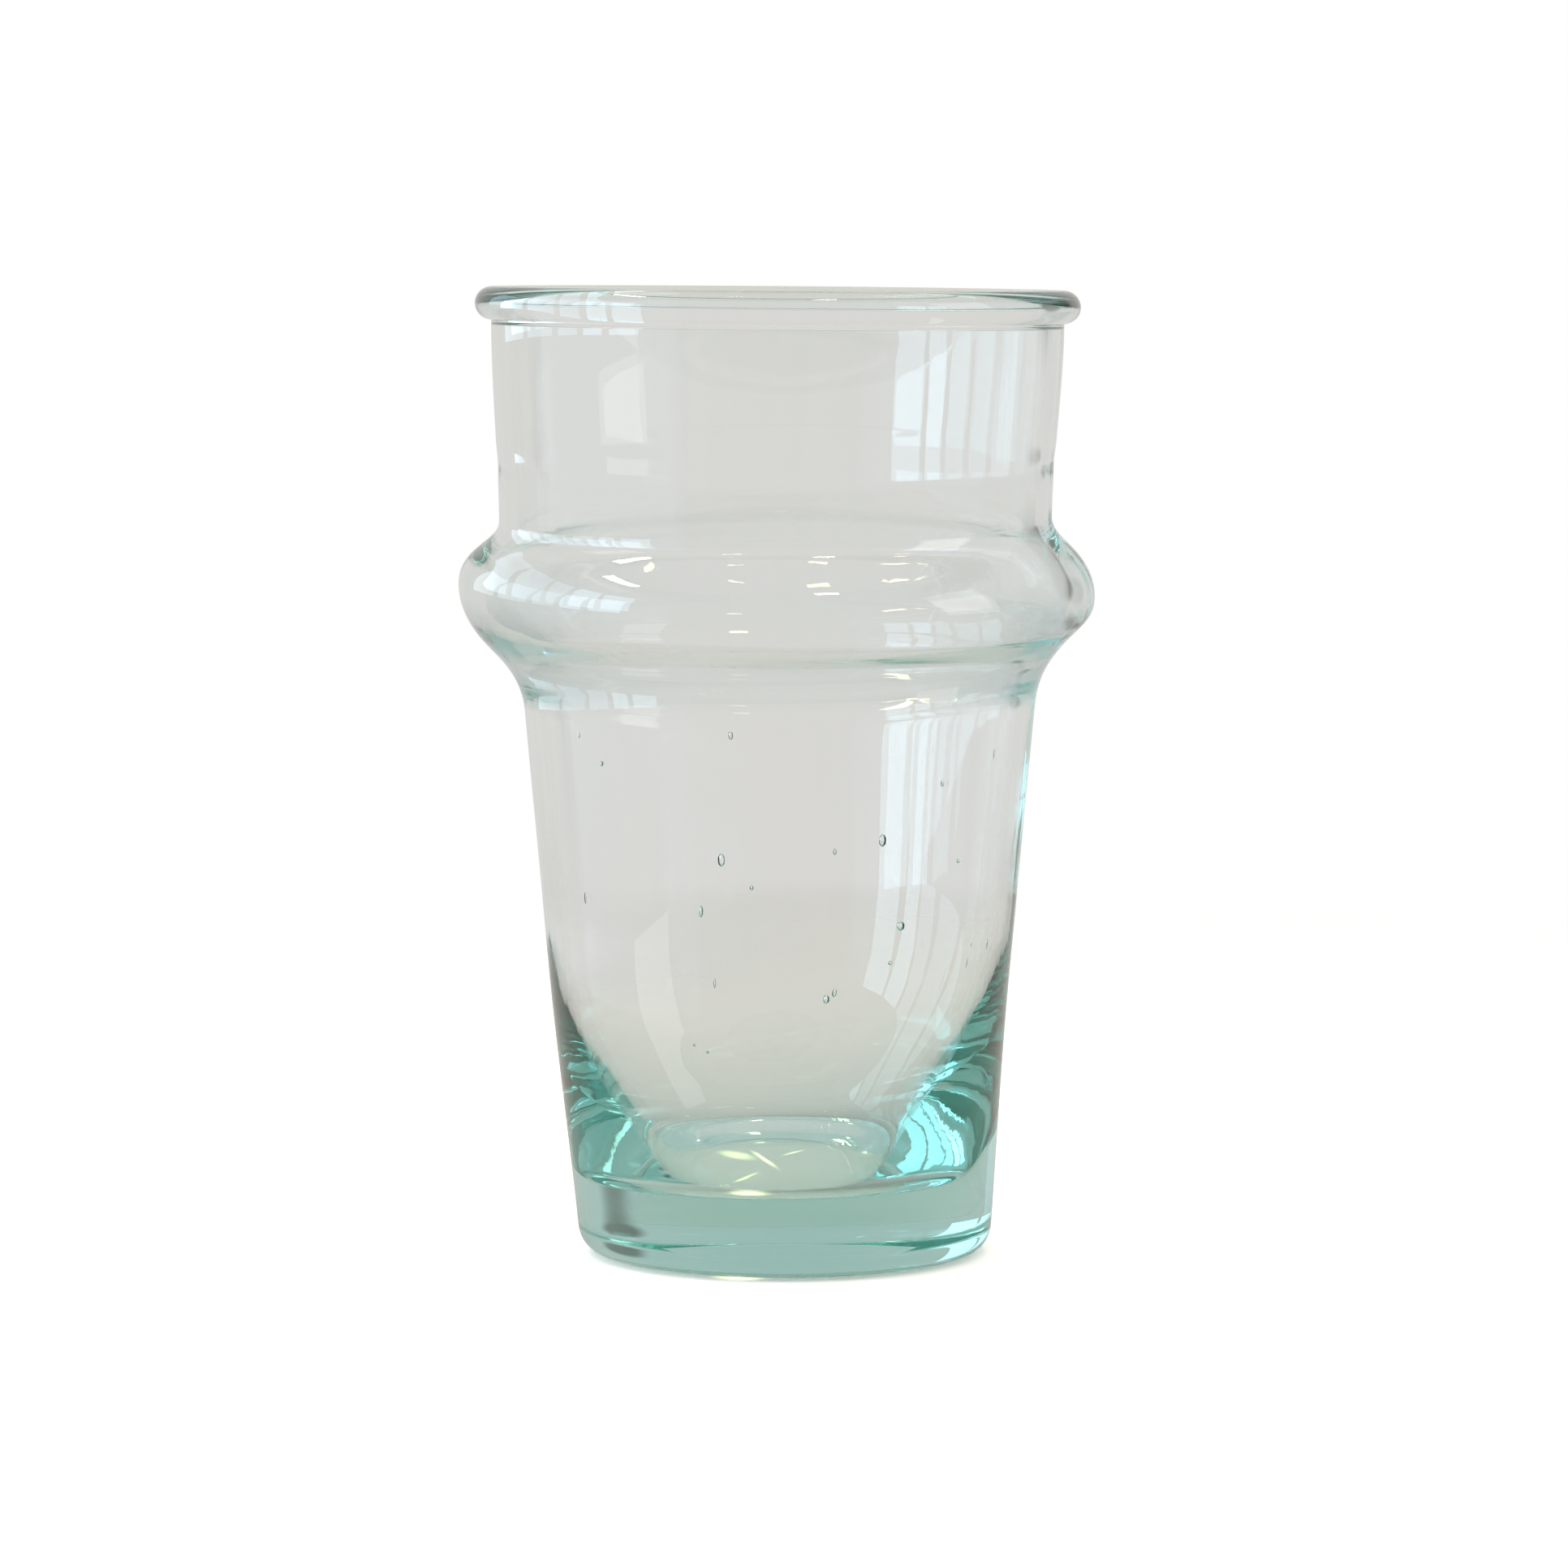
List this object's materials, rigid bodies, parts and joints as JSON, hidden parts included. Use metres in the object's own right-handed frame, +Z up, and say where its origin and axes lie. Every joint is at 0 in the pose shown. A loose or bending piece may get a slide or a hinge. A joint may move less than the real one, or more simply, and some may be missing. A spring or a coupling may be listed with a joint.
{
  "type": "water glass",
  "caption": "Hand-blown tumbler of pale aqua recycled glass with a thick foot, tapered lower wall, round gripping bulge, flared upper wall and rolled rim.",
  "frame": {"origin": "centre of the standing ring, on the table plane", "axes": "+Z up along the glass's axis, from the table to the rim; the glass is the same all round, so +X and +Y are free"},
  "size_m": [0.0788, 0.0788, 0.12],
  "materials": {
    "aqua_glass": "clear, fire-polished, faint aqua tint that deepens where the glass is thick"
  },
  "bodies": {
    "root": {"foot": "aqua_glass", "bowl": "aqua_glass", "lower_wall": "aqua_glass", "bulge_underside": "aqua_glass", "bulge_shoulder": "aqua_glass", "upper_wall": "aqua_glass", "rim": "aqua_glass"}
  },
  "joints": []
}
